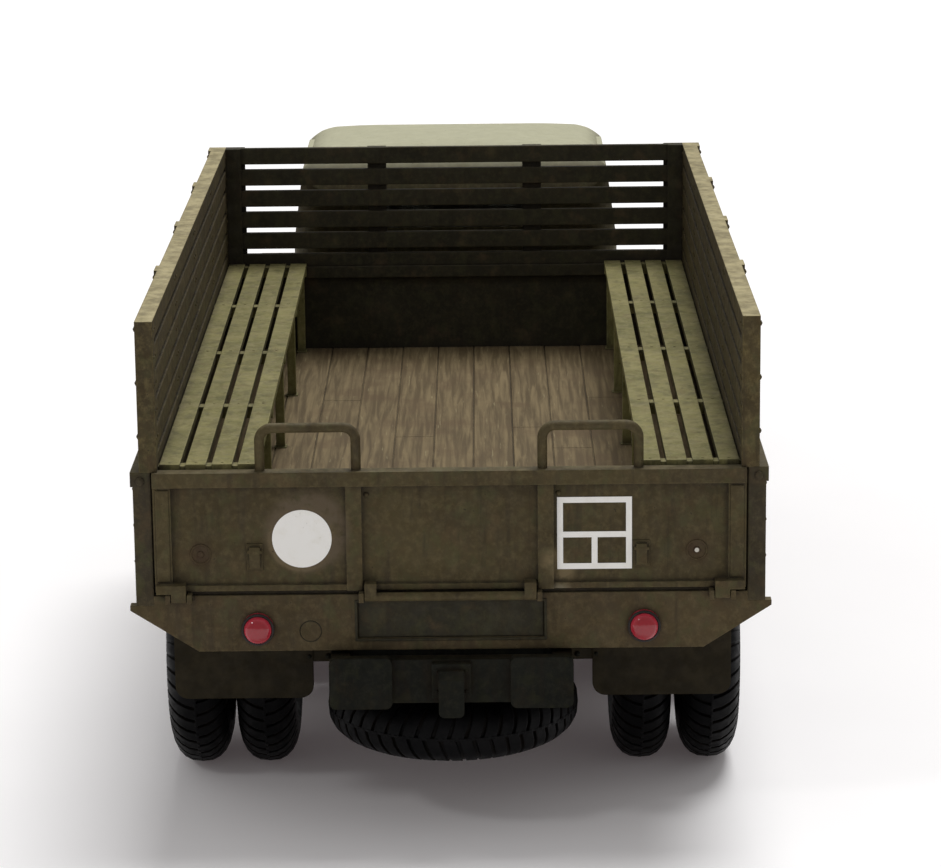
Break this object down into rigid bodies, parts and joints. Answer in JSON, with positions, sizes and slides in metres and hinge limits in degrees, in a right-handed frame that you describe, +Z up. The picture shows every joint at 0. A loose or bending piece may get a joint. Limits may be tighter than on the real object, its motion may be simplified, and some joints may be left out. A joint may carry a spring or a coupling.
{
  "type": "scale model of a six-wheel military cargo truck",
  "caption": "Built and painted plastic scale model of a military cargo truck with a closed cab, an open slatted cargo bed, dual rear wheels and steered front wheels.",
  "frame": {"origin": "middle of the overall length and width, on the surface that the tyres stand on", "axes": "+X to the front of the truck, +Y to its left, +Z up"},
  "size_m": [0.1924, 0.0652, 0.0553],
  "materials": {
    "tyre_rubber": "satin black plastic rubber, moulded lugs",
    "olive_paint": "matt olive drab paint, weathered and dry-brushed",
    "light_olive_paint": "matt lighter green paint, faded",
    "chassis_paint": "matt dark olive paint with brown dirt",
    "clear_window": "clear plastic",
    "red_lens": "clear red paint over a bright base",
    "lamp_glass": "bright lens in a painted shell",
    "dark_rubber": "matt dark rubber sheet, dusty",
    "radiator_black": "matt near-black"
  },
  "bodies": {
    "chassis": {"axle_front": "chassis_paint", "axle_middle": "chassis_paint", "axle_rear": "chassis_paint", "bed_floor": "olive_paint", "bed_front_wall": "olive_paint", "bed_side_left": "olive_paint", "bed_side_right": "olive_paint", "bed_sills": "chassis_paint", "bogie_springs": "chassis_paint", "bumperettes": "chassis_paint", "cab_body": "olive_paint", "cab_glass": "clear_window", "cab_seat": "light_olive_paint", "dashboard_and_wheel": "olive_paint", "door_left": "olive_paint", "door_right": "olive_paint", "engine_and_gearbox": "radiator_black", "exhaust": "chassis_paint", "fender_left": "olive_paint", "fender_right": "olive_paint", "frame": "chassis_paint", "front_bumper": "olive_paint", "fuel_tank": "olive_paint", "grille_guard": "olive_paint", "headlamps": "lamp_glass", "hood": "olive_paint", "mud_flaps": "dark_rubber", "pintle_hook": "chassis_paint", "propeller_shafts": "chassis_paint", "rack_front": "olive_paint", "rack_left": "olive_paint", "rack_right": "olive_paint", "radiator": "radiator_black", "rear_sill": "olive_paint", "seat_left": "light_olive_paint", "seat_right": "light_olive_paint", "spare_tyre": "tyre_rubber", "spare_wheel": "olive_paint", "springs_front": "chassis_paint", "tail_lamps": "red_lens", "tool_box": "olive_paint", "transfer_case": "chassis_paint"},
    "knuckle_left": {"knuckle_left": "chassis_paint"},
    "knuckle_right": {"knuckle_right": "chassis_paint"},
    "tie_rod": {"tie_rod": "chassis_paint"},
    "front_wheel_left": {"tyre_front_left": "tyre_rubber", "wheel_front_left": "olive_paint"},
    "front_wheel_right": {"tyre_front_right": "tyre_rubber", "wheel_front_right": "olive_paint"},
    "middle_wheels_left": {"tyres_middle_left": "tyre_rubber", "wheels_middle_left": "olive_paint"},
    "middle_wheels_right": {"tyres_middle_right": "tyre_rubber", "wheels_middle_right": "olive_paint"},
    "rear_wheels_left": {"tyres_rear_left": "tyre_rubber", "wheels_rear_left": "olive_paint"},
    "rear_wheels_right": {"tyres_rear_right": "tyre_rubber", "wheels_rear_right": "olive_paint"},
    "tailgate": {"tailgate": "olive_paint"}
  },
  "joints": [
    {"name": "steer_left", "type": "hinge", "parent": "chassis", "child": "knuckle_left", "pos_m": [0.07165, 0.0173, 0.0132], "axis": [0, 0, 1], "range_deg": [-26, 26]},
    {"name": "steer_right", "type": "hinge", "parent": "chassis", "child": "knuckle_right", "pos_m": [0.07165, -0.0173, 0.0132], "axis": [0, 0, 1], "range_deg": [-26, 26]},
    {"name": "tie_rod_pivot", "type": "hinge", "parent": "knuckle_left", "child": "tie_rod", "pos_m": [0.06615, 0.0173, 0.0106], "axis": [0, 0, 1], "range_deg": [-26, 26]},
    {"name": "front_wheel_left_spin", "type": "hinge", "parent": "knuckle_left", "child": "front_wheel_left", "pos_m": [0.07165, 0.0219, 0.0132], "axis": [0, 1, 0], "continuous": true},
    {"name": "front_wheel_right_spin", "type": "hinge", "parent": "knuckle_right", "child": "front_wheel_right", "pos_m": [0.07165, -0.0219, 0.0132], "axis": [0, 1, 0], "continuous": true},
    {"name": "middle_wheels_left_spin", "type": "hinge", "parent": "chassis", "child": "middle_wheels_left", "pos_m": [-0.03135, 0.024, 0.0132], "axis": [0, 1, 0], "continuous": true},
    {"name": "middle_wheels_right_spin", "type": "hinge", "parent": "chassis", "child": "middle_wheels_right", "pos_m": [-0.03135, -0.024, 0.0132], "axis": [0, 1, 0], "continuous": true},
    {"name": "rear_wheels_left_spin", "type": "hinge", "parent": "chassis", "child": "rear_wheels_left", "pos_m": [-0.06335, 0.024, 0.0132], "axis": [0, 1, 0], "continuous": true},
    {"name": "rear_wheels_right_spin", "type": "hinge", "parent": "chassis", "child": "rear_wheels_right", "pos_m": [-0.06335, -0.024, 0.0132], "axis": [0, 1, 0], "continuous": true},
    {"name": "tailgate_hinge", "type": "hinge", "parent": "chassis", "child": "tailgate", "pos_m": [-0.0927, 0, 0.02675], "axis": [0, -1, 0], "range_deg": [0, 90]}
  ],
  "couplings": [
    {"joint": "steer_right", "follows": "steer_left", "ratio": 1},
    {"joint": "tie_rod_pivot", "follows": "steer_left", "ratio": -1}
  ]
}
